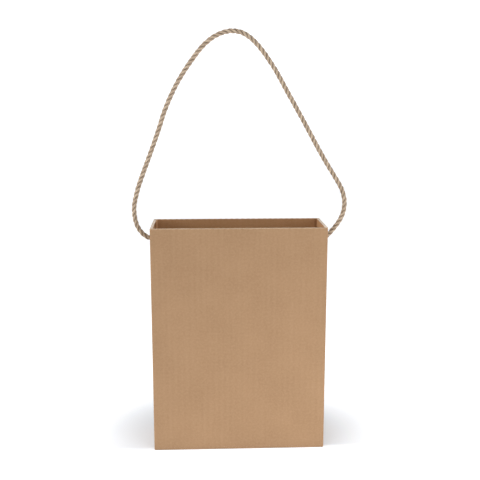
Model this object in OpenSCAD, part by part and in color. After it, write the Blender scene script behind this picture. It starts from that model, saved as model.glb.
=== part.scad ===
// Corrugated kraft gift bag with a rope handle. Millimetres, +Z up.
// The origin is at the middle of the base, and the front faces -Y.
// The four panels fold flat as a parallelogram, seen from above, and the base flaps rise with them.

/* [Bag] */
// Outer width of the bag
bag_w = 192; // [170:2:220]
// Outer depth of the bag
bag_d = 68; // [66:1:80]
// Height of the rim
bag_h = 254; // [230:1:280]

/* [Corrugated board] */
// Thickness of the whole board
board_t = 3; // [2.8:0.1:3.2]
// Thickness of one liner sheet
liner_t = 0.25; // [0.2:0.05:0.3]
// Thickness of the wavy medium between the liners
medium_t = 0.2; // [0.15:0.05:0.3]
// Distance from one flute to the next
flute_pitch = 6.4; // [5.6:0.2:7.2]
// Outer radius of the creased vertical corners
crease_r = 1.5; // [0.8:0.1:2]

/* [Base flaps] */
// Reach of the front and back flaps
long_flap_reach = 30.6; // [24:0.2:30.6]
// Reach of the side flaps, which lie on top of the other two
side_flap_reach = 45; // [30:1:50]

/* [Rope] */
// Diameter of the rope
rope_d = 5.4; // [4:0.1:5.6]
// Diameter of the hole in each side panel
hole_d = 6.4; // [6:0.1:7]
// Distance of the holes below the rim
hole_drop = 16; // [14:1:20]
// Diameter of the knots inside the bag
knot_d = 13; // [11:0.5:14]
// Length of each frayed tail below its knot
tail_l = 24; // [15:1:30]

/* [Hidden] */
$fn = 48;
eps = 0.05;                              // clearance left at creases between panels
inner_x = bag_w / 2 - board_t;           // inside face of the side panels
inner_y = bag_d / 2 - board_t;           // inside face of the front and back panels
wave_a = (board_t - 2 * liner_t - medium_t) / 2;  // half height of the medium's wave
wave_points = 8;                         // on each flute of the medium
wave_step = flute_pitch / wave_points;
medium_inset = 0.6;                      // the front and back mediums stop this far from the side faces
layer_gap = 0.1;                         // between the side flaps and the flaps under them
side_flap_z = board_t + layer_gap;       // underside of the side flaps
hole_z = bag_h - hole_drop;
socket_x = bag_w / 2 + 3;                // where the rope turns, just outside each side panel
ball_d = rope_d - 0.2;                   // rounded piece of rope between the hole and the handle
rope_gap = 0.1;                          // between that piece and the rope in the hole
stub_end = socket_x - ball_d / 2 - rope_gap;
rope_sides = 10;
knot_l = 11;
tab_t = 1.5;                             // the glued tab is crushed to half the board
tab_w = 21;
tab_z = 54;                              // its lower end, above the raised side flap
glue_t = 0.1;
glue_margin = 3;                         // from the tab's edges to the glue
long_reach = min(long_flap_reach, inner_y - 0.4);  // so that the two long flaps don't meet
long_corner = 6;                         // the long flaps start this far from the closing corners
long_open_corner = 5;                    // and this far from the opening ones
long_cut = 1.1;                          // slope of their edge at the closing corners
side_corner = 4.2;                       // the side flaps start this far from the closing corners
side_open_corner = 2;                    // and this far from the opening ones
side_cut = 0.38;                         // slope of their edge at the closing corners
side_chamfer = 12;                       // of the free corner near the opening ones

liner_brown = [0.69, 0.55, 0.42];
inside_brown = [0.60, 0.45, 0.33];
edge_cream = [0.88, 0.82, 0.74];
rope_beige = [0.72, 0.63, 0.52];

// The rope's middle line over the bag, in the plane y = 0, from the left hole to the right one, for a
// bag whose rope turns at route_x and route_z.
route_x = 99;
route_z = 238;
rope_route = [
    [-101.3, 239.4], [-105, 242], [-109, 246.3], [-112.8, 253.5], [-114.8, 263], [-115, 274], [-112.5, 286],
    [-109, 298], [-104.5, 310], [-99.5, 323], [-94.5, 336], [-90, 348], [-85, 362], [-80, 377],
    [-74, 391], [-67, 405], [-58.5, 419], [-49, 432.5], [-38.5, 445.5], [-28, 454.5], [-17, 460],
    [-6, 462], [5, 460], [14.5, 454], [23.5, 445], [33, 432.5], [42.5, 418], [51.5, 402],
    [60.5, 386.5], [70, 370], [79.5, 353], [89, 336], [98.5, 320], [108, 305], [115.5, 292],
    [119, 279], [118, 266], [113.3, 255.5], [107, 246.8], [100.9, 240]];

// ---- Panels ----

// The bag's outline, seen from above and drawn inwards by d, with its corners rounded.
module outline(d) {
    r = max(crease_r - d, 0.01);
    x = bag_w / 2 - d;
    y = bag_d / 2 - d;
    square([2 * (x - r), 2 * y], center = true);
    square([2 * x, 2 * (y - r)], center = true);
    for (sx = [-1, 1], sy = [-1, 1]) translate([sx * (x - r), sy * (y - r)]) circle(r);
}

// A liner sheet all round the bag: side is "y-", "y+", "x-" or "x+".
module liner_strip(side, depth) {
    linear_extrude(bag_h) intersection() {
        difference() {
            outline(depth);
            outline(depth + liner_t);
        }
        zone(side);
    }
}

// The front and back panels take the corners, and the side panels fit between them.
module zone(side) {
    if (side == "y-") translate([-bag_w, -bag_d]) square([2 * bag_w, bag_d - inner_y]);
    if (side == "y+") translate([-bag_w, inner_y]) square([2 * bag_w, bag_d]);
    if (side == "x-") translate([-bag_w, eps - inner_y]) square([bag_w, 2 * (inner_y - eps)]);
    if (side == "x+") translate([0, eps - inner_y]) square([bag_w, 2 * (inner_y - eps)]);
}

// The medium of one panel lies along X, with its wave across Y, and stands up along Z.
module medium(half_length, height) {
    n = floor(half_length / wave_step);
    line = [for (i = [-n:n]) [i * wave_step, wave_a * cos(i * 360 / wave_points)]];
    far_side = [for (i = [2 * n:-1:0]) line[i] + [0, medium_t]];
    linear_extrude(height) translate([0, -medium_t / 2]) polygon(concat(line, far_side));
}

// The hole for the rope goes through both side panels.
module rope_hole() {
    translate([-bag_w, 0, hole_z]) rotate([0, 90, 0]) cylinder(d = hole_d, h = 2 * bag_w);
}

module panel_medium(side) {
    mid_y = (bag_d - board_t) / 2;
    mid_x = (bag_w - board_t) / 2;
    if (side == "y-") translate([0, -mid_y, 0]) medium(bag_w / 2 - medium_inset, bag_h);
    if (side == "y+") translate([0, mid_y, 0]) medium(bag_w / 2 - medium_inset, bag_h);
    if (side == "x-") translate([-mid_x, 0, 0]) rotate([0, 0, 90]) medium(inner_y - eps, bag_h);
    if (side == "x+") translate([mid_x, 0, 0]) rotate([0, 0, 90]) medium(inner_y - eps, bag_h);
}

module long_outer_liner(side) { color(liner_brown) liner_strip(side, 0); }
module long_inner_liner(side) { color(inside_brown) liner_strip(side, board_t - liner_t); }
module long_medium(side) { color(edge_cream) panel_medium(side); }
module side_outer_liner(side) { color(liner_brown) difference() { liner_strip(side, 0); rope_hole(); } }
module side_inner_liner(side) {
    color(inside_brown) difference() {
        liner_strip(side, board_t - liner_t);
        rope_hole();
    }
}
module side_medium(side) { color(edge_cream) difference() { panel_medium(side); rope_hole(); } }

// ---- Base flaps ----

// The front flap, seen from above. Its cut ends let the bag's closing corner shut over it.
module long_flap_outline() {
    x0 = long_corner - inner_x;
    x1 = inner_x - long_open_corner;
    y0 = 2 * eps - inner_y;
    y1 = long_reach - inner_y;
    polygon([[x0, y0], [x1, y0], [x1 - long_reach, y1], [x0 + long_cut * long_reach, y1]]);
}

// The left flap, seen from above.
module side_flap_outline() {
    x0 = 2 * eps - inner_x;
    x1 = side_flap_reach - inner_x;
    y0 = side_corner - inner_y;
    y1 = inner_y - side_open_corner;
    polygon([[x0, y0], [x1, y0 + side_cut * side_flap_reach], [x1, y1 - side_chamfer],
             [x1 - side_chamfer, y1], [x0, y1]]);
}

// turn is 0 for the front or left flap, and 180 for the one opposite.
module flap_sheet(turn, z, is_side) {
    translate([0, 0, z]) rotate([0, 0, turn]) linear_extrude(liner_t) {
        if (is_side) side_flap_outline(); else long_flap_outline();
    }
}

// The flutes of a flap run away from its panel.
module flap_medium(turn, z, is_side) {
    translate([0, 0, z]) rotate([0, 0, turn]) intersection() {
        linear_extrude(board_t) { if (is_side) side_flap_outline(); else long_flap_outline(); }
        translate([0, 0, board_t / 2]) {
            if (is_side) rotate([90, 0, 90]) translate([0, 0, -bag_w / 2]) medium(inner_y, bag_w / 2);
            else rotate([90, 0, 0]) medium(inner_x, bag_d / 2);
        }
    }
}

module flap_outer(turn, z, is_side) { color(liner_brown) flap_sheet(turn, z, is_side); }
module flap_inner(turn, z, is_side) {
    color(inside_brown) flap_sheet(turn, z + board_t - liner_t, is_side);
}
module flap_core(turn, z, is_side) { color(edge_cream) flap_medium(turn, z, is_side); }

// ---- Side seam ----

module glue_tab() {
    color(inside_brown) translate([glue_t - inner_x, inner_y - eps - tab_w, tab_z])
        cube([tab_t, tab_w, bag_h - tab_z]);
}

module glue_line() {
    color("ivory") translate([-inner_x, inner_y - eps - tab_w + glue_margin, tab_z + glue_margin])
        cube([glue_t, tab_w - 2 * glue_margin, bag_h - tab_z - 2 * glue_margin]);
}

// ---- Rope ----

rope_rings = len(rope_route);

// Point i of the route, stretched to this bag's width and moved to its holes' height.
function rope_point(i) = [rope_route[i][0] * socket_x / route_x, rope_route[i][1] + hole_z - route_z];

// Direction of the rope at point i of its route.
function rope_dir(i) =
    let (d = rope_point(min(i + 1, rope_rings - 1)) - rope_point(max(i - 1, 0)))
    d / norm(d);

// One corner of a ring: the ring's own axes are Y and the line across the rope in the plane y = 0.
function ring_point(i, k) =
    let (d = rope_dir(i), p = rope_point(i), a = k * 360 / rope_sides, r = rope_d / 2)
    [p[0] - r * cos(a) * d[1], r * sin(a), p[1] + r * cos(a) * d[0]];

module rope_loop() {
    points = [for (i = [0:rope_rings - 1], k = [0:rope_sides - 1]) ring_point(i, k)];
    walls = [for (i = [0:rope_rings - 2], k = [0:rope_sides - 1])
        let (j = (k + 1) % rope_sides, a = i * rope_sides, b = a + rope_sides)
        [a + k, b + k, b + j, a + j]];
    first = [for (k = [0:rope_sides - 1]) k];
    last = [for (k = [rope_sides - 1:-1:0]) (rope_rings - 1) * rope_sides + k];
    color(rope_beige) polyhedron(points, concat(walls, [first], [last]), convexity = 6);
}

module rope_end() {
    color(rope_beige) translate([-socket_x, 0, hole_z]) sphere(d = ball_d);
}

// side is -1 for the left end and 1 for the right end.
module rope_stub(side) {
    color(rope_beige) translate([side > 0 ? inner_x : -stub_end, 0, hole_z])
        rotate([0, 90, 0]) cylinder(d = rope_d, h = stub_end - inner_x);
}

// A stopper knot, as a rounded barrel that bears on the inside of the panel.
module knot(side) {
    r = knot_d / 2;
    edge = knot_d / 5;
    color(rope_beige) translate([side * inner_x, 0, hole_z]) rotate([0, -90 * side, 0])
        rotate_extrude() {
            square([r, knot_l - edge]);
            square([r - edge, knot_l]);
            translate([r - edge, knot_l - edge]) circle(edge);
        }
}

// The frayed tail hangs from the knot.
module tail(side) {
    top_z = hole_z - knot_d / 2;
    color(rope_beige) translate([side * (inner_x - knot_l / 2), 0, top_z - tail_l])
        cylinder(d = rope_d, h = tail_l);
}

long_outer_liner("y-");  // front_outer_liner
long_medium("y-");  // front_flute
long_inner_liner("y-");  // front_inner_liner
long_outer_liner("y+");  // back_outer_liner
long_medium("y+");  // back_flute
long_inner_liner("y+");  // back_inner_liner
side_outer_liner("x-");  // left_outer_liner
side_medium("x-");  // left_flute
side_inner_liner("x-");  // left_inner_liner
side_outer_liner("x+");  // right_outer_liner
side_medium("x+");  // right_flute
side_inner_liner("x+");  // right_inner_liner
flap_outer(0, 0, false);  // front_flap_outer_liner
flap_core(0, 0, false);  // front_flap_flute
flap_inner(0, 0, false);  // front_flap_inner_liner
flap_outer(180, 0, false);  // back_flap_outer_liner
flap_core(180, 0, false);  // back_flap_flute
flap_inner(180, 0, false);  // back_flap_inner_liner
flap_outer(0, side_flap_z, true);  // left_flap_outer_liner
flap_core(0, side_flap_z, true);  // left_flap_flute
flap_inner(0, side_flap_z, true);  // left_flap_inner_liner
flap_outer(180, side_flap_z, true);  // right_flap_outer_liner
flap_core(180, side_flap_z, true);  // right_flap_flute
flap_inner(180, side_flap_z, true);  // right_flap_inner_liner
glue_tab();
glue_line();
rope_loop();
rope_end();
rope_stub(-1);  // left_rope_stub
rope_stub(1);  // right_rope_stub
knot(-1);  // left_knot
knot(1);  // right_knot
tail(-1);  // left_tail
tail(1);  // right_tail
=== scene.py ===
"""Corrugated kraft gift bag with a laid rope handle: its looks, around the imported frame.
Metres, +Z up, front at -Y."""
import bpy
import math
import random
import numpy as np
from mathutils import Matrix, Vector


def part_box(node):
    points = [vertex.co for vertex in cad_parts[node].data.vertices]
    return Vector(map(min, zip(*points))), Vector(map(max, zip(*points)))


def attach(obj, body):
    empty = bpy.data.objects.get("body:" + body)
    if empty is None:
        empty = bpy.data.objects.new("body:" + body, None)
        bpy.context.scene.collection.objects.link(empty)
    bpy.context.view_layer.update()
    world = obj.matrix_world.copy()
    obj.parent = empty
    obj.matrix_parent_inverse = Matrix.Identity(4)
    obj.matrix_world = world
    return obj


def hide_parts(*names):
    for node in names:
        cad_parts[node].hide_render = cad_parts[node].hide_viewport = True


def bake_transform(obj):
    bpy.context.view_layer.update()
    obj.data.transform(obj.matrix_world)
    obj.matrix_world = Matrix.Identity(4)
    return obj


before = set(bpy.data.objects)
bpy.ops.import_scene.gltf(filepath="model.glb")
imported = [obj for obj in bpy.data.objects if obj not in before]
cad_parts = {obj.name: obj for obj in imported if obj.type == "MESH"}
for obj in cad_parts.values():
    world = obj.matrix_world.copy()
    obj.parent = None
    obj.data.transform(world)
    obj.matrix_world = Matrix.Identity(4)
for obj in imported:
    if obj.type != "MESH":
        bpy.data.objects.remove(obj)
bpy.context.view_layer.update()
RNG = random.Random(7)
MM = 0.001

# ---- Sizes, from the frame ----
FRONT_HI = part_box("front_outer_liner")[1]
BACK_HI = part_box("back_outer_liner")[1]
HALF_W = FRONT_HI[0]                                   # outer half width
HALF_D = BACK_HI[1]                                    # outer half depth
RIM = FRONT_HI[2]                                      # height of the rim
INNER_X = -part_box("left_inner_liner")[1][0]            # inside face of the side panels
INNER_Y = -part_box("front_inner_liner")[1][1]           # inside face of the front and back panels
BOARD = HALF_D - INNER_Y                               # thickness of the board
FLAP_LO, FLAP_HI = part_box("front_flap_outer_liner")
LINER = FLAP_HI[2] - FLAP_LO[2]                        # thickness of a liner
STUB_LO, STUB_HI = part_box("left_rope_stub")
HOLE_Z = (STUB_LO[2] + STUB_HI[2]) / 2
ROPE_D = STUB_HI[2] - STUB_LO[2]
PITCH = 6.4 * MM                                       # from one flute to the next
MEDIUM = 0.2 * MM                                      # thickness of the wavy sheet
CREASE_R = 1.5 * MM                                    # radius of the creases on the outside
CORNER = 4 * MM                                        # reach of a corner strip along the front or back
CORNER_SIDE = 5.5 * MM                                 # and along the side panel
BASE_STRIP = 3 * MM                                    # height of the creased strip at the base
HOLE_R = 3.2 * MM                                      # radius of the rope's holes
GAP = 0.05 * MM                                        # left between pieces that must not touch
TINY = 1e-6                                            # for comparing heights

# ---- Sizes of the looks ----
FLUTE_HALF_WIDE = 95 * MM                              # how far the wavy sheet reaches in a wide panel
FLUTE_HALF_SIDE = 30.6 * MM                            # and in a side panel
BOW_WIDE = 0.7 * MM                                    # how far a wide panel bulges
BOW_SIDE = 0.25 * MM
INNER_CREASE_R = 0.5 * MM                              # radius of the creases inside the bag
BED_SUNK = 0.5 * MM                                    # how far a corner's rim bed lies below the rim
BED_THICK = 0.4 * MM
HOLE_SIDES = 32                                        # straight sides in a hole's outline
HOLE_REACH = 3 * MM                                    # how far the punch goes past the board
LAY = 18 * MM                                          # one turn of the rope's strands
STRANDS = 3
STRAND_SIDES = 30                                      # points round a strand
YARN_TURNS = 2.5                                       # half the number of yarns in a strand
ROPE_STEP = 0.6 * MM                                   # from one ring of the rope to the next
FRAYED_FIBRES = 45                                     # in the brush at each strand's end
LOOSE_FIBRES = 900                                     # on the rope over the bag
KNOT_FIBRES = 90
STUB_FIBRES = 6

# The rope's middle line over the bag, in the plane y = 0, in metres, as in the CAD.
ROPE_ROUTE = [
    (-0.1013, 0.2394), (-0.105, 0.242), (-0.109, 0.2463), (-0.1128, 0.2535), (-0.1148, 0.263),
    (-0.115, 0.274), (-0.1125, 0.286), (-0.109, 0.298), (-0.1045, 0.31), (-0.0995, 0.323),
    (-0.0945, 0.336), (-0.09, 0.348), (-0.085, 0.362), (-0.08, 0.377), (-0.074, 0.391),
    (-0.067, 0.405), (-0.0585, 0.419), (-0.049, 0.4325), (-0.0385, 0.4455), (-0.028, 0.4545),
    (-0.017, 0.46), (-0.006, 0.462), (0.005, 0.46), (0.0145, 0.454), (0.0235, 0.445),
    (0.033, 0.4325), (0.0425, 0.418), (0.0515, 0.402), (0.0605, 0.3865), (0.07, 0.37),
    (0.0795, 0.353), (0.089, 0.336), (0.0985, 0.32), (0.108, 0.305), (0.1155, 0.292),
    (0.119, 0.279), (0.118, 0.266), (0.1133, 0.2555), (0.107, 0.2468), (0.1009, 0.24)]


# ---- Camera, floor and light ----

def make_camera():
    data = bpy.data.cameras.new("camera")
    data.sensor_width = 36
    data.lens = 56.2
    camera = bpy.data.objects.new("camera", data)
    bpy.context.scene.collection.objects.link(camera)
    yaw, pitch = math.radians(2.37), math.radians(10.64)
    look = Vector((math.sin(yaw) * math.cos(pitch), math.cos(yaw) * math.cos(pitch), -math.sin(pitch)))
    camera.location = (-0.032, -0.8259, 0.3903)
    camera.rotation_euler = look.to_track_quat("-Z", "Y").to_euler()
    bpy.context.scene.camera = camera


def area_light(name, place, aim, size, watts):
    data = bpy.data.lights.new(name, "AREA")
    data.shape = "RECTANGLE"
    data.size, data.size_y = size
    data.energy = watts
    light = bpy.data.objects.new(name, data)
    bpy.context.scene.collection.objects.link(light)
    light.location = place
    light.rotation_euler = (Vector(aim) - Vector(place)).to_track_quat("-Z", "Y").to_euler()


def make_stage():
    """A pale round floor that curves up into a low wall all round."""
    flat, bend, high, around = 3.0, 0.7, 1.9, 48
    arc = np.linspace(0, math.pi / 2, 13)
    profile = [(0.3, 0.0), (1.0, 0.0)]
    profile += [(flat + bend * math.sin(a), bend * (1 - math.cos(a))) for a in arc]
    profile.append((flat + bend, high))
    turns = [2 * math.pi * i / around for i in range(around)]
    verts = [(r * math.sin(t), -r * math.cos(t), z - GAP) for r, z in profile for t in turns]
    faces = [(k * around + i, k * around + (i + 1) % around, (k + 1) * around + (i + 1) % around,
              (k + 1) * around + i) for k in range(len(profile) - 1) for i in range(around)]
    faces.append(tuple(range(around - 1, -1, -1)))
    mesh = bpy.data.meshes.new("floor")
    mesh.from_pydata(verts, [], faces)
    for p in mesh.polygons:
        p.use_smooth = True
    floor = bpy.data.objects.new("floor", mesh)
    bpy.context.scene.collection.objects.link(floor)
    # painted light and shade on the floor: it fades to a white glow away from the object, and glows in front
    # of it like a reflector card, a painted pool of light
    n = Nodes("floor_white", 0.9)
    n.shader.inputs["Base Color"].default_value = (0.67, 0.69, 0.72, 1)
    n.shader.inputs["Specular IOR Level"].default_value = 0.1
    n.shader.inputs["Emission Color"].default_value = (1, 1, 1, 1)
    where = n.add("ShaderNodeTexCoord").outputs["Object"]
    split = n.add("ShaderNodeSeparateXYZ")
    n.link(where, split.inputs[0])
    in_front = n.ramp(split.outputs["Y"], -0.046, -0.024, 0.95, 0.0)
    painted_light_pool = n.math("MULTIPLY", in_front, n.ramp(n.distance(where, (0.06, -0.08, 0)), 0.12, 0.38, 1.0, 0.0))
    # painted shadow: the glow is dimmest within 9 cm of a point 1 cm left of the object's middle
    glow = n.math("ADD", n.ramp(n.distance(where, (-0.01, 0, 0)), 0.09, 0.22, 0.15, 0.6), painted_light_pool)
    n.link(glow, n.shader.inputs["Emission Strength"])
    floor.data.materials.append(n.mat)


def make_light():
    world = bpy.data.worlds.new("studio")
    bpy.context.scene.world = world
    world.use_nodes = True
    sky = world.node_tree.nodes["Background"]
    sky.inputs["Color"].default_value = (1, 1, 1, 1)
    sky.inputs["Strength"].default_value = 0.17
    area_light("low", (0.35, -0.6, 0.06), (0.05, 0, 0.06), (0.3, 0.08), 1.45)
    area_light("left", (-1.2, -0.12, 0.52), (0.09, 0, 0.24), (0.3, 0.3), 10)
    area_light("right", (1.2, -0.12, 0.52), (-0.09, 0, 0.24), (0.3, 0.3), 5)
    area_light("wide", (0.0, -0.75, 2.5), (0, 0, 0.0), (2.4, 1.0), 31.5)
    bpy.context.scene.view_settings.view_transform = "Standard"


# ---- Materials ----

class Nodes:
    """A material's node tree, with short calls for the nodes that repeat."""

    def __init__(self, name, roughness=0.85):
        self.mat = bpy.data.materials.new(name)
        self.mat.use_nodes = True
        self.tree = self.mat.node_tree
        self.shader = self.tree.nodes["Principled BSDF"]
        self.shader.inputs["Roughness"].default_value = roughness
        self.shader.inputs["Specular IOR Level"].default_value = 0.25

    def add(self, kind, **values):
        node = self.tree.nodes.new(kind)
        for key, value in values.items():
            setattr(node, key, value)
        return node

    def link(self, a, b):
        self.tree.links.new(a, b)

    def socket(self, value, into):
        if isinstance(value, (int, float)):
            into.default_value = value
        else:
            self.link(value, into)

    def math(self, op, a, b=0.0):
        node = self.add("ShaderNodeMath", operation=op)
        self.socket(a, node.inputs[0])
        self.socket(b, node.inputs[1])
        return node.outputs[0]

    def distance(self, vector, place):
        node = self.add("ShaderNodeVectorMath", operation="DISTANCE")
        node.inputs[1].default_value = place
        self.link(vector, node.inputs[0])
        return node.outputs["Value"]

    def uv(self, scale=(1, 1, 1), angle=0.0, coordinates="UV"):
        mapping = self.add("ShaderNodeMapping")
        mapping.inputs["Scale"].default_value = scale
        mapping.inputs["Rotation"].default_value = (0, 0, angle)
        source = self.add("ShaderNodeTexCoord")
        self.link(source.outputs[coordinates], mapping.inputs["Vector"])
        return mapping.outputs["Vector"]

    def noise(self, vector, scale, detail=3.0, roughness=0.55, distortion=0.0):
        node = self.add("ShaderNodeTexNoise")
        node.inputs["Scale"].default_value = scale
        node.inputs["Detail"].default_value = detail
        node.inputs["Roughness"].default_value = roughness
        node.inputs["Distortion"].default_value = distortion
        self.link(vector, node.inputs["Vector"])
        return node.outputs["Fac"]

    def ramp(self, value, low, high, a=0.0, b=1.0):
        node = self.add("ShaderNodeMapRange", interpolation_type="SMOOTHSTEP")
        node.inputs["From Min"].default_value = low
        node.inputs["From Max"].default_value = high
        node.inputs["To Min"].default_value = a
        node.inputs["To Max"].default_value = b
        self.link(value, node.inputs["Value"])
        return node.outputs["Result"]

    def mix(self, factor, a, b):
        node = self.add("ShaderNodeMix", data_type="RGBA")
        self.socket(factor, node.inputs["Factor"])
        for value, into in ((a, node.inputs["A"]), (b, node.inputs["B"])):
            if isinstance(value, tuple):
                into.default_value = (*value, 1)
            else:
                self.link(value, into)
        return node.outputs["Result"]

    def bump(self, height, distance, strength):
        node = self.add("ShaderNodeBump")
        node.inputs["Strength"].default_value = strength
        node.inputs["Distance"].default_value = distance
        self.link(height, node.inputs["Height"])
        return node.outputs["Normal"]

    def attribute(self, name):
        node = self.add("ShaderNodeAttribute", attribute_name=name)
        return node.outputs["Fac"]

    def finish(self, colour, normal):
        self.link(colour, self.shader.inputs["Base Color"])
        self.link(normal, self.shader.inputs["Normal"])
        return self.mat


def paper(name, base, dark, light, ripple=0.0, rim=False):
    """Kraft paper: clouded formation, fibres at four angles, dark specks, painted shade in faint stripes
    along the flutes (lighter over each flute, darker between them) where ripple is above 0, and a pale frayed
    edge at the rim where rim is set too. The UV map holds metres: u across the flutes, v up."""
    n = Nodes(name)
    plain = n.uv()
    cloud = n.noise(plain, 22, 3)
    formation = n.noise(plain, 420, 4, 0.6)
    colour = n.mix(n.ramp(cloud, 0.25, 0.75), dark, base)
    colour = n.mix(n.ramp(formation, 0.3, 0.8, 0.0, 0.5), colour, light)
    height = formation
    for i, angle in enumerate((0.2, 1.1, 1.9, 2.7)):
        streak = n.noise(n.uv((1, 0.12, 1), angle), 2600 + 300 * i, 2, 0.5, 0.3)
        fibre = n.ramp(streak, 0.63, 0.72)
        tone = light if i % 2 else dark
        colour = n.mix(n.math("MULTIPLY", fibre, 0.38), colour, tone)
        height = n.math("ADD", height, n.math("MULTIPLY", fibre, 0.5))
    speck = n.ramp(n.noise(plain, 1500, 1), 0.74, 0.78)
    colour = n.mix(n.math("MULTIPLY", speck, 0.45), colour, tuple(0.45 * c for c in dark))
    if ripple:
        split = n.add("ShaderNodeSeparateXYZ")
        n.link(plain, split.inputs[0])
        phase = n.math("MULTIPLY", split.outputs["X"], 2 * math.pi / PITCH)
        wave = n.math("COSINE", phase)
        wander = n.ramp(n.noise(n.uv((1, 0.15, 1)), 60, 2), 0.3, 0.7)
        # painted shade: the paper is a little lighter over each flute and darker between them
        painted_flute_shade = n.math("MULTIPLY", n.ramp(wave, -1, 1), n.math("MULTIPLY", wander, ripple))
        colour = n.mix(painted_flute_shade, colour, light)
    if rim:
        frayed = n.math("ADD", split.outputs["Y"], n.math("MULTIPLY", wave, 0.00022))
        frayed = n.math("ADD", frayed, n.math("MULTIPLY", n.noise(plain, 900, 2), 0.0007))
        edge = n.ramp(frayed, RIM - 0.0005, RIM + 0.0001, 0.0, 0.22)
        colour = n.mix(edge, colour, (0.66, 0.52, 0.38))
    return n.finish(colour, n.bump(height, 0.00004, 0.7))


def rope_fibre():
    """Twisted paper yarn: pale on the crowns and dark in the grooves, a painted shade, with fine fibres along
    each yarn.
    """
    n = Nodes("rope_fibre", 0.9)
    groove_shade = n.attribute("groove_shade")
    tone = n.attribute("tone")
    along = n.noise(n.uv((1, 0.08, 1)), 5200, 2)
    patch = n.noise(n.uv(), 160, 2)
    stray = n.noise(n.uv((1, 0.15, 1)), 1500, 2)
    colour = n.mix(n.ramp(tone, 0, 1), (0.305, 0.222, 0.152), (0.4, 0.305, 0.217))
    colour = n.mix(n.ramp(patch, 0.35, 0.7, 0.0, 0.5), colour, (0.445, 0.352, 0.265))
    colour = n.mix(n.ramp(along, 0.4, 0.7, 0.0, 0.5), colour, (0.53, 0.42, 0.312))
    colour = n.mix(n.ramp(stray, 0.5, 0.68, 0.0, 0.55), colour, (0.2, 0.142, 0.092))
    # painted shade: dark in the grooves between the strands and yarns, pale on the crowns
    colour = n.mix(n.ramp(groove_shade, 0.3, 0.95, 0.9, 0.0), colour, (0.1, 0.07, 0.042))
    n.shader.inputs["Sheen Weight"].default_value = 0.15
    return n.finish(colour, n.bump(along, 0.0001, 0.6))


def dried_glue():
    """The cloudy, slightly glossy glue of the tab."""
    n = Nodes("dried_glue", 0.45)
    cloud = n.noise(n.uv(coordinates="Object"), 500, 3)
    return n.finish(n.mix(cloud, (0.72, 0.62, 0.42), (0.86, 0.8, 0.66)), n.bump(cloud, 0.0001, 0.5))


def make_materials():
    kraft = dict(base=(0.274, 0.163, 0.086), dark=(0.247, 0.145, 0.075), light=(0.325, 0.206, 0.117))
    inside = dict(base=(0.41, 0.212, 0.095), dark=(0.37, 0.187, 0.08), light=(0.47, 0.263, 0.133))
    # painted shade: a darker kraft for the inside of the corner strips, where the inner corners hold shade
    painted_corner_shade = dict(base=(0.3, 0.15, 0.064), dark=(0.26, 0.128, 0.053), light=(0.35, 0.185, 0.088))
    return {
        "outside": paper("kraft_outside", ripple=0.16, rim=True, **kraft),
        "inside": paper("kraft_inside", ripple=0.14, rim=True, **inside),
        "painted_corner_shade": paper("scored_inside", ripple=0.05, rim=True, **painted_corner_shade),
        "edge": paper("raw_edge", (0.74, 0.63, 0.51), (0.64, 0.52, 0.4), (0.83, 0.74, 0.63)),
        "pale_edge": paper("crushed_edge", (0.83, 0.75, 0.66), (0.75, 0.66, 0.56), (0.9, 0.83, 0.76)),
        "medium": paper("flute_paper", (0.56, 0.42, 0.29), (0.46, 0.33, 0.21), (0.68, 0.55, 0.42)),
        "rope": rope_fibre(),
        "glue": dried_glue()}


# ---- Board ----

def add_mesh(name, verts, faces, uvs, face_mats, mats, smooth):
    mesh = bpy.data.meshes.new(name)
    mesh.from_pydata(verts.tolist(), [], faces)
    layer = mesh.uv_layers.new(name="UVMap")
    loop_verts = np.zeros(len(mesh.loops), np.int32)
    mesh.loops.foreach_get("vertex_index", loop_verts)
    layer.data.foreach_set("uv", uvs[loop_verts].astype(np.float32).ravel())
    for mat in mats:
        mesh.materials.append(mat)
    mesh.polygons.foreach_set("material_index", np.array(face_mats, np.int32))
    mesh.polygons.foreach_set("use_smooth", np.array(smooth, bool))
    mesh.validate()
    mesh.update()
    obj = bpy.data.objects.new(name, mesh)
    bpy.context.scene.collection.objects.link(obj)
    return obj


def slab(name, top, bottom, uv, mats, folds=2):
    """A closed sheet between two grids of points. mats are those of the top, the bottom and the cut edges.
    folds is the material number of the edges along v, which aren't cuts where the sheet goes on."""
    rows, cols = top.shape[:2]
    count = rows * cols
    verts = np.concatenate([top.reshape(-1, 3), bottom.reshape(-1, 3)])
    uvs = np.concatenate([uv.reshape(-1, 2), uv.reshape(-1, 2)])
    index = np.arange(count).reshape(rows, cols)
    a, b, c, d = index[:-1, :-1], index[1:, :-1], index[1:, 1:], index[:-1, 1:]
    quads = np.stack([a, b, c, d], -1).reshape(-1, 4)
    faces = quads.tolist() + (quads[:, ::-1] + count).tolist()
    face_mats = [0] * len(quads) + [1] * len(quads)
    ring = np.concatenate([index[0, :-1], index[:-1, -1], index[-1, :0:-1], index[:0:-1, 0]])
    after = np.roll(ring, -1)
    faces += [(i, j, j + count, i + count) for i, j in zip(ring.tolist(), after.tolist())]
    face_mats += ([folds] * (cols - 1) + [2] * (rows - 1)) * 2
    smooth = [True] * 2 * len(quads) + [False] * len(ring)
    obj = add_mesh(name, verts, faces, uvs, face_mats, mats, smooth)
    # cut edges are sharp
    ends = np.zeros(len(obj.data.edges) * 2, np.int32)
    obj.data.edges.foreach_get("vertices", ends)
    on_ring = np.zeros(2 * count, bool)
    on_ring[ring] = True
    on_ring[ring + count] = True
    ends = ends.reshape(-1, 2)
    sharp = on_ring[ends[:, 0]] & on_ring[ends[:, 1]]
    attribute = obj.data.attributes.new("sharp_edge", "BOOLEAN", "EDGE")
    attribute.data.foreach_set("value", sharp)
    return obj


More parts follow.
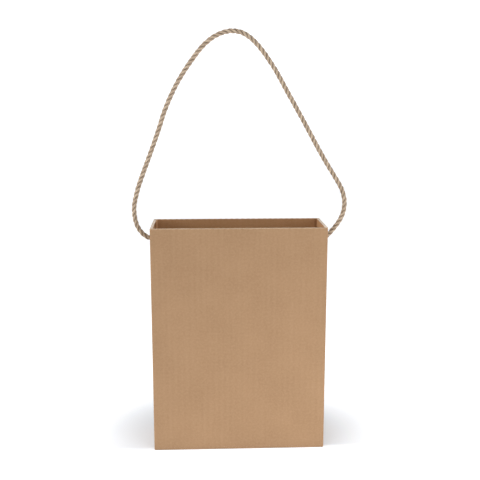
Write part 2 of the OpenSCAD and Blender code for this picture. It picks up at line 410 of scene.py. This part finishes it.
class Panel:
    """One upright panel. along is the direction of u, out is the outward normal, and half is its half width.
    u0 is added to u in the UV map, so that the paper's pattern runs on round the creased corners."""

    def __init__(self, name, body, centre, along, out, half, u0):
        self.name, self.body, self.half, self.u0 = name, body, half, u0
        self.wide = half == HALF_W
        self.centre, self.along, self.out = np.array(centre), np.array(along), np.array(out)

    def bow(self, u, v):
        """The board's slight natural bulge: none at the corners and the base."""
        across = np.clip(1 - (u / self.half) ** 2, 0, 1)
        up = np.sin(np.pi * np.clip(v / RIM, 0, 1) * 0.86)
        reach = BOW_WIDE if self.wide else BOW_SIDE
        above_base = np.clip(v / (60 * MM), 0, 1)
        wobble = 0.1 * MM * np.sin(u * 41 + self.u0 * 30) * np.sin(v * 23 + 1.3) * above_base
        return across * (reach * up + wobble)

    def place(self, u, v, depth):
        """Points at u along the panel, v up it, and depth in from the outer face."""
        shift = self.bow(u, v) - depth
        spot = (self.centre[None, None, :] + u[..., None] * self.along[None, None, :]
                + shift[..., None] * self.out[None, None, :])
        spot[..., 2] = v
        return spot


def grid(us, vs):
    return np.meshgrid(us, vs, indexing="ij")


def rows_between(low, high, step=4 * MM, fine_at=()):
    """Heights of a panel's rows, closer together around each place in fine_at."""
    rows = set(np.round(np.linspace(low, high, max(2, int(round((high - low) / step)) + 1)), 6))
    for z in fine_at:
        rows |= set(np.round(np.arange(z - 5 * MM, z + 5 * MM, 0.6 * MM), 6))
    return np.array(sorted(z for z in rows if low <= z <= high))


def ripple(u, depth, face):
    """A liner sinks a little between the flutes: face is 1 for the outer one and -1 for the inner one."""
    return depth + face * 0.035 * MM * (1 - face * np.cos(2 * np.pi * u / PITCH))


def rim_rag(u, seed):
    """The saw-cut rim is not quite straight."""
    return 0.10 * MM * np.sin(u * 2 * np.pi / PITCH + seed) + 0.05 * MM * np.sin(u * 3100 + 2 * seed)


def liner(panel, face, low_u, high_u, mats, cut):
    """The outer or inner liner of a panel, from low_u to high_u along it."""
    bottom_z = BASE_STRIP if face > 0 else 0.0
    us = np.linspace(low_u, high_u, int(round((high_u - low_u) / (PITCH / 8))) + 1)
    hole = [] if panel.wide else [HOLE_Z]
    vs = rows_between(bottom_z, RIM, fine_at=hole + [RIM - 2 * MM])
    u, v = grid(us, vs)
    outer = ripple(u, 0.0 if face > 0 else BOARD - LINER, face)
    if hole:
        # the die that cuts the hole presses its edge in
        r = np.hypot(u, v - HOLE_Z)
        outer = outer + face * 0.3 * MM * np.exp(-((r - HOLE_R) / (1.3 * MM)) ** 2)
    lifted = v + np.where(v > RIM - TINY, rim_rag(u, 1.0 + face), 0.0)
    top = panel.place(u, lifted, outer)
    under = panel.place(u, lifted, outer + LINER)
    uv = np.stack([u + panel.u0, v], -1)
    if face > 0:
        name, faces, folds = "outer", (mats["outside"], mats["medium"]), 0
    else:
        name, faces, folds = "inner", (mats["medium"], mats["inside"]), 1
    return slab(f"{panel.name}_{name}_liner_sheet", top, under, uv, (*faces, cut), folds)


def medium(panel, low_u, high_u, mats, cut):
    """The wavy sheet between the liners."""
    us = np.linspace(low_u, high_u, int(round((high_u - low_u) / (PITCH / 16))) + 1)
    hole = [] if panel.wide else [HOLE_Z]
    u, v = grid(us, rows_between(1.6 * MM, RIM, 12 * MM, fine_at=hole))
    reach = (BOARD - 2 * LINER - MEDIUM) / 2 - 0.03 * MM
    phase = 2 * np.pi * u / PITCH
    wave = reach * (np.cos(phase) * 1.08 - 0.08 * np.cos(3 * phase))
    slope = np.sqrt(1 + (reach * 2 * np.pi / PITCH * np.sin(phase)) ** 2)
    middle = BOARD / 2 - wave
    lifted = v + np.where(v > RIM - TINY, rim_rag(u, 3.0) - 0.12 * MM, 0.0)
    top = panel.place(u, lifted, middle - MEDIUM / 2 * slope)
    under = panel.place(u, lifted, middle + MEDIUM / 2 * slope)
    uv = np.stack([u + panel.u0, v], -1)
    return slab(f"{panel.name}_medium_sheet", top, under, uv, (mats["medium"], mats["medium"], cut))


def rim_bed(panel, low_u, high_u, mats, cut):
    """Crushed flutes just under the cut rim, between the liners: a pale ragged bed round the waves."""
    us = np.linspace(low_u, high_u, int(round((high_u - low_u) / (PITCH / 8))) + 1)
    depths = np.linspace(LINER, BOARD - LINER, 5)
    u, d = grid(us, depths)
    sunk = (0.9 if panel.wide else 0.3) * MM + 0.12 * MM * np.sin(u * 2300 + d * 4000)
    v = RIM - sunk
    uv = np.stack([u + panel.u0, v + d], -1)
    return slab(f"{panel.name}_rim_bed", panel.place(u, v, d), panel.place(u, v - 0.3 * MM, d), uv,
                (cut, mats["medium"], cut))


def punch(obj, side):
    """Cuts the rope's hole through a sheet of a side panel."""
    n = HOLE_SIDES
    rings = [(side * x, HOLE_R * math.cos(a), HOLE_Z + HOLE_R * math.sin(a))
             for x in (INNER_X - HOLE_REACH, HALF_W + HOLE_REACH)
             for a in np.linspace(0, 2 * math.pi, n + 1)[:-1]]
    walls = [(i, (i + 1) % n, n + (i + 1) % n, n + i) for i in range(n)]
    ends = [tuple(range(n - 1, -1, -1)), tuple(range(n, 2 * n))]
    mesh = bpy.data.meshes.new("punch")
    mesh.from_pydata(rings, [], walls + ends)
    tool = bpy.data.objects.new("punch", mesh)
    bpy.context.scene.collection.objects.link(tool)
    cut = obj.modifiers.new("cut", "BOOLEAN")
    cut.operation = "DIFFERENCE"
    cut.solver = "EXACT"
    cut.object = tool
    bpy.context.view_layer.update()
    result = bpy.data.meshes.new_from_object(obj.evaluated_get(bpy.context.evaluated_depsgraph_get()))
    obj.modifiers.clear()
    obj.data = result
    bpy.data.objects.remove(tool)


def strip(name, path, normals, along_u, heights, thick, mats, z_shape=None, folds=0):
    """A creased strip: path is its outer line seen from above, swept up through heights. z_shape gives how
    far it moves inwards at each height, and folds is as in slab."""
    path, normals = np.array(path), np.array(normals)
    outer = np.zeros((len(path), len(heights), 3))
    outer[..., :2] = path[:, None, :]
    outer[..., 2] = heights[None, :]
    inner = outer.copy()
    inner[..., :2] -= thick * normals[:, None, :]
    if z_shape is not None:
        shift = z_shape(heights)[None, :, None] * normals[:, None, :]
        outer[..., :2] -= shift
        inner[..., :2] -= shift
    uv = np.zeros((len(path), len(heights), 2))
    uv[..., 0] = np.array(along_u)[:, None]
    uv[..., 1] = heights[None, :]
    return slab(name, outer, inner, uv, mats, folds)


def lengths_along(points):
    """How far along its line each point lies."""
    return np.concatenate([[0], np.cumsum(np.linalg.norm(np.diff(points, axis=0), axis=1))])


def corner_path(sx, sy, r, reach_x, reach_y, x, y):
    """Points round one upright corner at (sx x, sy y), from the front or back face to the side face, and the
    outward normals there."""
    arc = np.linspace(0, math.pi / 2, 9)
    line = [(x - reach_x, y)]
    line += [(x - r + r * math.sin(a), y - r + r * math.cos(a)) for a in arc]
    line.append((x, y - reach_y))
    out = [(0.0, 1.0)] + [(math.sin(a), math.cos(a)) for a in arc] + [(1.0, 0.0)]
    path = [(sx * px, sy * py) for px, py in line]
    normals = [(sx * nx, sy * ny) for nx, ny in out]
    return path, normals


def tuck(z):
    """How far the outer liner curves in just above the floor."""
    z = np.asarray(z, float)
    low = np.clip(CREASE_R - z, 0, CREASE_R)
    return CREASE_R - np.sqrt(CREASE_R ** 2 - low ** 2)


def corner_heights(low):
    """Heights of a corner strip's rows. low holds those that the curve at the base needs."""
    return np.array(sorted(set(rows_between(0.0, RIM)) | low))


def corner_rim_bed(name, flat, uv, mats):
    """The board's crushed filling, which shows between a corner's strips at the rim."""
    top = np.concatenate([flat, np.full((*flat.shape[:2], 1), RIM - BED_SUNK)], -1)
    faces = (mats["edge"], mats["medium"], mats["edge"])
    return slab(name, top, top - np.array((0, 0, BED_THICK)), uv, faces)


def make_corner(name, sx, sy, mats):
    """The crease between two panels, as an outer and an inner strip bent round the corner."""
    heights = corner_heights({0.2 * MM, 0.5 * MM, 0.9 * MM, 1.5 * MM, 2.2 * MM})
    start = (sx * (HALF_W - CORNER), sy * HALF_D, 0)
    end = (sx * HALF_W, sy * (HALF_D - CORNER_SIDE), 0)
    if sy > 0:
        start, end = end, start
    lines = []
    for layer, x, y, r, reach_x, reach_y in (
            ("outer", HALF_W, HALF_D, CREASE_R, CORNER, CORNER_SIDE),
            ("inner", INNER_X + LINER, INNER_Y + LINER, INNER_CREASE_R,
             CORNER - BOARD + 2 * MM, CORNER_SIDE - BOARD)):
        path, normals = corner_path(sx, sy, r, reach_x, reach_y, x, y)
        along = sx * x + lengths_along(path)
        if sx * sy > 0:
            path, normals, along = path[::-1], normals[::-1], along[::-1]
        if layer == "outer":
            slot, faces, z_shape, folds = "kraft_outside", (mats["outside"], mats["medium"]), tuck, 0
        else:
            # the inside of a corner strip takes the painted corner shade
            slot, faces, z_shape, folds = "kraft_inside", (mats["medium"], mats["painted_corner_shade"]), None, 1
        piece = strip(f"{name}_{layer}_crease", path, normals, along, heights, LINER, (*faces, mats["edge"]),
                      z_shape, folds)
        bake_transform(piece)
        lines.append(np.array(path) - LINER * 0.5 * np.array(normals))
    flat = np.stack(lines, 1)
    uv = np.stack([flat[..., 0] + flat[..., 1], flat[..., 1]], -1)
    bed = corner_rim_bed(f"{name}_rim_bed", flat, uv, mats)
    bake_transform(bed)


def make_base_crease(panel, low, high, mats):
    """The crease between a panel and its base flap: low and high are its ends along u at the panel, and it
    narrows to the flap's own ends."""
    r = CREASE_R
    arc = np.linspace(0, math.pi / 2, 7)
    section = [(0.0, BASE_STRIP)] + [(r - r * math.cos(a), r - r * math.sin(a)) for a in arc]
    normals = [(1.0, 0.0)] + [(math.cos(a), math.sin(a)) for a in arc]
    if panel.wide:
        section += [(d, 0.0) for d in np.linspace(r, BOARD + 2 * GAP, 5)[1:]]
        normals += [(0.0, 1.0)] * 4
        start, end = (r, 0.0), (BOARD + 2 * GAP, 0.0)
    else:
        # the side flaps lie on the other two, so their crease turns up behind the board
        section += [(BOARD - 0.6 * MM, 0.0), (BOARD - 0.2 * MM, 0.3 * MM)]
        section += [(BOARD + 2 * GAP, z) for z in np.linspace(1.3 * MM, BOARD + 2 * GAP, 5)]
        normals += [(0.0, 1.0), (-0.6, 0.8)] + [(-1.0, 0.0)] * 5
        start, end = (BOARD - 0.7 * MM, BOARD - 1.2 * MM), (BOARD + 2 * GAP, BOARD + 2 * GAP)
    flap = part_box(f"{panel.name}_flap_outer_liner")
    flap_ends = sorted(float(np.dot(corner, panel.along)) for corner in flap)
    section, normals = np.array(section), np.array(normals)
    inner_section = section + LINER * normals
    steps = lengths_along(section)
    narrowed = np.clip(section[:, 0] / BOARD, 0, 1)
    first = low + (max(low, flap_ends[0]) - low) * narrowed
    last = high + (min(high, flap_ends[1]) - high) * narrowed
    us = first + (last - first) * np.linspace(0, 1, int((high - low) / (3 * MM)))[:, None]

    def sweep(sec):
        spot = panel.centre + us[..., None] * panel.along - sec[None, :, 0, None] * panel.out
        spot[..., 2] = sec[None, :, 1]
        return spot

    uv = np.stack(np.broadcast_arrays(us + panel.u0, (BASE_STRIP - steps)[None, :]), -1)
    piece = slab(f"{panel.name}_base_crease", sweep(section)[:, ::-1], sweep(inner_section)[:, ::-1],
                 uv[:, ::-1], (mats["outside"], mats["medium"], mats["edge"]), 0)
    start, end = (tuple(panel.centre - d * panel.out + np.array((0, 0, z))) for d, z in (start, end))
    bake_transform(piece)


def make_open_corner(mats):
    """The back-left corner, where the glued tab closes the sleeve: each panel's liner turns half of it, and
    the left panel's goes on under the back panel's, so that the seam stays shut as the bag folds."""
    path, normals = corner_path(-1, 1, CREASE_R, CREASE_R, BOARD - GAP, HALF_W, HALF_D)
    path, normals = np.array(path), np.array(normals)
    steps = lengths_along(path)
    heights = corner_heights({0.3 * MM, 0.7 * MM, 1.1 * MM, 1.5 * MM})
    faces = (mats["outside"], mats["medium"], mats["edge"])
    middle = len(path) // 2
    inner_corner = np.array((-INNER_X, INNER_Y))
    for body, half, far in (("back", slice(0, middle + 1), (-HALF_W + CREASE_R, INNER_Y)),
                            ("left_side", slice(middle, None), (-INNER_X, INNER_Y - GAP))):
        piece = strip(f"{body}_seam_crease", path[half], normals[half], HALF_W + steps[half], heights, LINER,
                      faces, tuck)
        outer = path[half] - LINER * 0.5 * normals[half]
        far = np.array(far)
        t = np.linspace(0, 1, len(outer))[:, None]
        inner = far + (inner_corner - far) * (t if body == "back" else 1 - t)
        flat = np.stack([outer, inner], 1)
        bed = corner_rim_bed(f"{body}_seam_rim_bed", flat, flat, mats)
        for each, slot in ((piece, "kraft_outside"), (bed, "flute_paper")):
            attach(each, body)
    under = slice(2, middle + 2)
    lap = strip("seam_underlap", path[under] - 0.3 * MM * normals[under], normals[under],
                HALF_W + steps[under], heights[:-2], LINER, faces, tuck)
    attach(lap, "left_side")


def make_panels(mats):
    half_round = 2 * (HALF_W + HALF_D)                 # half the way round the bag
    panels = [
        Panel("front", "root", (0, -HALF_D, 0), (1, 0, 0), (0, -1, 0), HALF_W, 0.0),
        Panel("right", "right_side", (HALF_W, 0, 0), (0, 1, 0), (1, 0, 0), HALF_D, HALF_W + HALF_D),
        Panel("back", "back", (0, HALF_D, 0), (-1, 0, 0), (0, 1, 0), HALF_W, half_round),
        Panel("left", "left_side", (-HALF_W, 0, 0), (0, -1, 0), (-1, 0, 0), HALF_D, -HALF_W - HALF_D)]
    for p in panels:
        # the liners stop where the corners' strips take over
        if p.wide:
            reach, inner_reach, flute_reach = HALF_W - CORNER, INNER_X - 2.8 * MM, FLUTE_HALF_WIDE
        else:
            reach, inner_reach, flute_reach = HALF_D - CORNER_SIDE, INNER_Y - 2.3 * MM, FLUTE_HALF_SIDE
        low, high, inner_low, inner_high = -reach, reach, -inner_reach, inner_reach
        if p.name == "back":                          # the open corner is at the end of the back panel's u
            high, inner_high = HALF_W - CREASE_R, INNER_X - GAP
        if p.name == "left":
            low = inner_low = -(INNER_Y - GAP)
        cut = mats["edge"] if p.wide else mats["pale_edge"]
        pieces = [(liner(p, 1, low, high, mats, cut), f"{p.name}_outer_liner", "kraft_outside"),
                  (liner(p, -1, inner_low, inner_high, mats, cut), f"{p.name}_inner_liner", "kraft_inside"),
                  (medium(p, -flute_reach, flute_reach, mats, cut), f"{p.name}_flute", "flute_paper")]
        make_base_crease(p, low, high, mats)
        bed = rim_bed(p, max(low, inner_low), min(high, inner_high), mats, cut)
        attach(bed, p.body)
        for piece, node, slot in pieces:
            if not p.wide:
                punch(piece, 1 if p.name == "right" else -1)
            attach(piece, p.body)
            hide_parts(node)
    make_open_corner(mats)
    make_corner("front_left", -1, -1, mats)
    make_corner("front_right", 1, -1, mats)
    make_corner("back_right", 1, 1, mats)


# ---- Rope ----

def smooth_line(points, step):
    """A smooth line through points, as evenly spaced points about step apart, and how far along each is."""
    per_stretch, smoothings = 24, 30
    p = np.array(points, float)
    p = np.vstack([2 * p[0] - p[1], p, 2 * p[-1] - p[-2]])
    out = []
    for i in range(1, len(p) - 2):
        t = np.linspace(0, 1, per_stretch, endpoint=False)[:, None]
        a, b, c, d = p[i - 1], p[i], p[i + 1], p[i + 2]
        out.append(0.5 * (2 * b + (c - a) * t + (2 * a - 5 * b + 4 * c - d) * t ** 2
                          + (3 * b - a - 3 * c + d) * t ** 3))
    line = np.vstack([np.vstack(out), p[-2]])
    for _ in range(smoothings):
        line[1:-1] = 0.25 * line[:-2] + 0.5 * line[1:-1] + 0.25 * line[2:]
    length = lengths_along(line)
    at = np.linspace(0, length[-1], int(length[-1] / step) + 1)
    return np.stack([np.interp(at, length, line[:, k]) for k in range(3)], -1), at


def carried_frames(line):
    """Tangents and two cross directions that don't twist along a line."""
    tangents = np.gradient(line, axis=0)
    tangents /= np.linalg.norm(tangents, axis=1)[:, None]
    side = np.cross(tangents[0], (0, 1, 0))
    side /= np.linalg.norm(side)
    sides = [side]
    for t in tangents[1:]:
        side = side - np.dot(side, t) * t
        side /= np.linalg.norm(side)
        sides.append(side)
    sides = np.array(sides)
    return tangents, sides, np.cross(tangents, sides)


def laid_rope(name, line, at, frames, tight, spread, mats, fuzz, frayed=None):
    """Strands laid right-handed round a line. tight scales the rope's thickness and spread opens its
    strands. fuzz is the number of loose fibres, and frayed is 0 or -1 where the rope's first or last end is
    a brush."""
    tangents, n, b = frames
    sides = STRAND_SIDES
    verts, faces, uvs, groove_shade, tone = [], [], [], [], []
    lists = (verts, faces, uvs, groove_shade, tone)
    strand_r = 0.265 * ROPE_D * tight / (0.6 + 0.4 * spread)
    offset = 0.245 * ROPE_D * tight * spread
    count = len(line)
    for k in range(STRANDS):
        turn = 2 * np.pi * (k / STRANDS + at / LAY)
        out = np.cos(turn)[:, None] * n + np.sin(turn)[:, None] * b
        middle = line + offset[:, None] * out
        run = np.gradient(middle, axis=0)
        run /= np.linalg.norm(run, axis=1)[:, None]
        e = out - (out * run).sum(1)[:, None] * run
        e /= np.linalg.norm(e, axis=1)[:, None]
        f = np.cross(run, e)
        phi = np.linspace(0, 2 * np.pi, sides, endpoint=False)
        twist = phi[None, :] + 2 * np.pi * at[:, None] / (0.8 * LAY)
        yarn = np.abs(np.cos(YARN_TURNS * twist))
        lump = 1 + 0.03 * np.sin(at * 900 + 2 * k) + 0.02 * np.sin(at * 2300 + k)
        r = strand_r[:, None] * lump[:, None] * (0.88 + 0.15 * yarn)
        ring = middle[:, None, :] + r[..., None] * (np.cos(phi)[None, :, None] * e[:, None, :]
                                                    + np.sin(phi)[None, :, None] * f[:, None, :])
        start = len(verts)
        verts.extend(ring.reshape(-1, 3).tolist())
        uv = np.stack(np.broadcast_arrays(k * 0.02 + twist * 0.0013, at[:, None]), -1)
        uvs.extend(uv.reshape(-1, 2).tolist())
        # how far out on a strand each point lies, for the painted groove shade: low between strands and
        # yarns, high on the crowns
        away = np.linalg.norm(ring - line[:, None, :], axis=-1) / (0.5 * ROPE_D * tight[:, None])
        depth = np.clip((away - 0.55) / 0.42, 0, 1) * (0.75 + 0.25 * yarn)
        groove_shade.extend(depth.ravel().tolist())
        shade = 0.5 + 0.5 * np.sin(at[:, None] * 47 + k * 2.1)
        tone.extend(np.broadcast_to(shade, yarn.shape).ravel().tolist())
        i = np.arange(count - 1)[:, None] * sides + start
        j = np.arange(sides)[None, :]
        j2 = (j + 1) % sides
        quads = np.stack([i + j, i + j2, i + sides + j2, i + sides + j], -1).reshape(-1, 4)
        faces.extend(quads.tolist())
        faces.append(tuple(range(start + sides - 1, start - 1, -1)))
        faces.append(tuple(range(start + (count - 1) * sides, start + count * sides)))
        if frayed is not None:
            away_from = tangents[frayed] * (1 if frayed else -1)
            tips = [middle[frayed] + out[frayed] * RNG.uniform(-0.9, 0.9) * MM
                    + n[frayed] * RNG.uniform(-0.9, 0.9) * MM for _ in range(FRAYED_FIBRES)]
            ways = [away_from + 0.5 * out[frayed] * RNG.random()
                    + np.array([RNG.gauss(0, 0.22) for _ in range(3)]) for _ in tips]
            add_fibres(lists, [t - away_from * MM for t in tips], ways,
                       [RNG.uniform(2.5, 5.5) * MM for _ in tips], 0.09 * MM)
    roots, ways = [], []
    for _ in range(fuzz):
        i = RNG.randrange(2, count - 2)
        a = RNG.uniform(0, 2 * math.pi)
        away = math.cos(a) * n[i] + math.sin(a) * b[i]
        roots.append(line[i] + away * 0.44 * ROPE_D * tight[i])
        ways.append(away * RNG.uniform(0.3, 1) + tangents[i] * RNG.choice((-1, 1)) * RNG.uniform(0.4, 1.2))
    add_fibres(lists, roots, ways, [RNG.uniform(0.8, 2.2) * MM for _ in roots], 0.025 * MM)
    obj = add_mesh(name, np.array(verts), faces, np.array(uvs), [0] * len(faces), [mats["rope"]],
                   [len(f) == 4 for f in faces])
    for label, values in (("groove_shade", groove_shade), ("tone", tone)):
        attribute = obj.data.attributes.new(label, "FLOAT", "POINT")
        attribute.data.foreach_set("value", np.array(values, np.float32))
    return obj


def add_fibres(mesh_lists, roots, ways, lengths, radius):
    """Thin tapered fibres of three sides, each bent a little, added to a rope's lists of points and faces."""
    thirds = (0, 2.094, 4.189)                         # of a turn, in radians
    verts, faces, uvs, groove_shade, tone = mesh_lists
    for root, way, length in zip(roots, ways, lengths):
        way = np.array(way) / np.linalg.norm(way)
        bend = np.array([RNG.uniform(-1, 1) for _ in range(3)]) * 0.5
        side = np.cross(way, (0.3, 0.8, 0.5))
        side /= np.linalg.norm(side)
        other = np.cross(way, side)
        start = len(verts)
        for i, t in enumerate((0, 0.35, 0.7, 1.0)):
            middle = root + way * length * t + bend * length * t * t * 0.6
            r = radius * (1 - 0.75 * t)
            for a in thirds:
                verts.append((middle + r * (math.cos(a) * side + math.sin(a) * other)).tolist())
                uvs.append((0.01 * a, length * t))
                # the loose fibres take almost none of the painted groove shade
                groove_shade.append(0.85)
                tone.append(0.8)
            if i:
                for j in range(3):
                    k = start + 3 * (i - 1)
                    faces.append((k + j, k + (j + 1) % 3, k + 3 + (j + 1) % 3, k + 3 + j))
        faces.append((start + 2, start + 1, start))
        faces.append((start + 9, start + 10, start + 11))


def knot_line(side):
    """The rope's line inside the bag: through the hole, an open overhand knot, and the hanging tail."""
    points = [(HALF_W, 0, 0), (INNER_X, 0, 0), (INNER_X - 1.5 * MM, 0, 0)]
    for t in np.linspace(-2.0, 2.0, 25):
        across, up, run = t ** 3 - 3 * t, t ** 4 - 4 * t ** 2, t ** 5 - 10 * t
        points.append((INNER_X - 6.3 * MM - run * 0.33 * MM, across * 1.5 * MM, (up + 2.2) * 1.35 * MM))
    points += [(INNER_X - 11.5 * MM, 0.6 * MM, -1.5 * MM), (INNER_X - 10.5 * MM, 0.8 * MM, -7 * MM),
               (INNER_X - 8 * MM, 0.4 * MM, -14 * MM), (INNER_X - 7 * MM, 0, -22 * MM),
               (INNER_X - 6.6 * MM, -0.6 * MM, -29 * MM)]
    return [(side * x, y, HOLE_Z + z) for x, y, z in points]


def make_rope(mats):
    over = [(x, 0.0, z) for x, z in ROPE_ROUTE]
    left_in, right_in = knot_line(-1), knot_line(1)
    whole = left_in[::-1] + [(-HALF_W - 2.6 * MM, 0, HOLE_Z + 0.4 * MM)] + over
    whole += [(HALF_W + 2.4 * MM, 0, HOLE_Z + 0.5 * MM)] + right_in
    line, at = smooth_line(whole, ROPE_STEP)
    frames = carried_frames(line)
    x = line[:, 0]
    out = np.abs(x) > HALF_W + 0.6 * MM                # clear of the side panel's face
    first, last = np.argmax(out), len(out) - 1 - np.argmax(out[::-1])
    # thinner where the knot squeezes it, and opened towards each tail's end
    inside = np.abs(x) < INNER_X - 0.5 * MM
    mask = inside & ((np.arange(len(x)) < first) | (np.arange(len(x)) > last))
    tight = np.where(mask, 0.8, 1.0)
    kernel = np.ones(9) / 9
    tight = np.convolve(np.pad(tight, 4, mode="edge"), kernel, "valid")
    from_end = np.minimum(at, at[-1] - at)
    spread = 1 + 1.1 * np.clip(1 - from_end / (14 * MM), 0, 1) ** 1.5

    def part(name, a, b, fuzz, frayed=None):
        s = slice(a, b)
        cross = tuple(f[s] for f in frames)
        return laid_rope(name, line[s], at[s], cross, tight[s], spread[s], mats, fuzz, frayed)

    # neighbouring parts share a ring or two, so that no gap shows between them
    stub = int(6 * MM / ROPE_STEP)                     # rings from where the rope leaves the hole to the knot
    left_inner, right_inner = first - stub, last + stub
    loop = part("rope_handle", first + 3, last - 1, LOOSE_FIBRES)
    left_stub = part("left_rope_end", left_inner, first + 4, STUB_FIBRES)
    right_stub = part("right_rope_end", last - 2, right_inner, STUB_FIBRES)
    left_knot = part("left_knotted_tail", 0, left_inner + 2, KNOT_FIBRES, 0)
    right_knot = part("right_knotted_tail", right_inner - 2, len(line), KNOT_FIBRES, -1)
    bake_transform(loop)
    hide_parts("rope_loop", "rope_end")
    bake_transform(left_stub)
    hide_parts("left_rope_stub")
    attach(right_stub, "right_side")
    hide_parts("right_rope_stub")
    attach(left_knot, "left_side")
    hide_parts("left_knot", "left_tail")
    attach(right_knot, "right_side")
    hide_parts("right_knot", "right_tail")


# ---- Base and seam, which keep their CAD shapes ----

def paint(node, mat):
    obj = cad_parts[node]
    if not obj.material_slots:
        obj.data.materials.append(None)
    for place in obj.material_slots:
        place.material = mat


def paint_cad_nodes(mats):
    for side in ("front", "back", "left", "right"):
        paint(f"{side}_flap_outer_liner", mats["outside"])
        paint(f"{side}_flap_flute", mats["medium"])
        paint(f"{side}_flap_inner_liner", mats["inside"])
    paint("glue_tab", mats["inside"])
    paint("glue_line", mats["glue"])


make_camera()
make_stage()
make_light()
MATS = make_materials()
make_rope(MATS)
make_panels(MATS)
paint_cad_nodes(MATS)
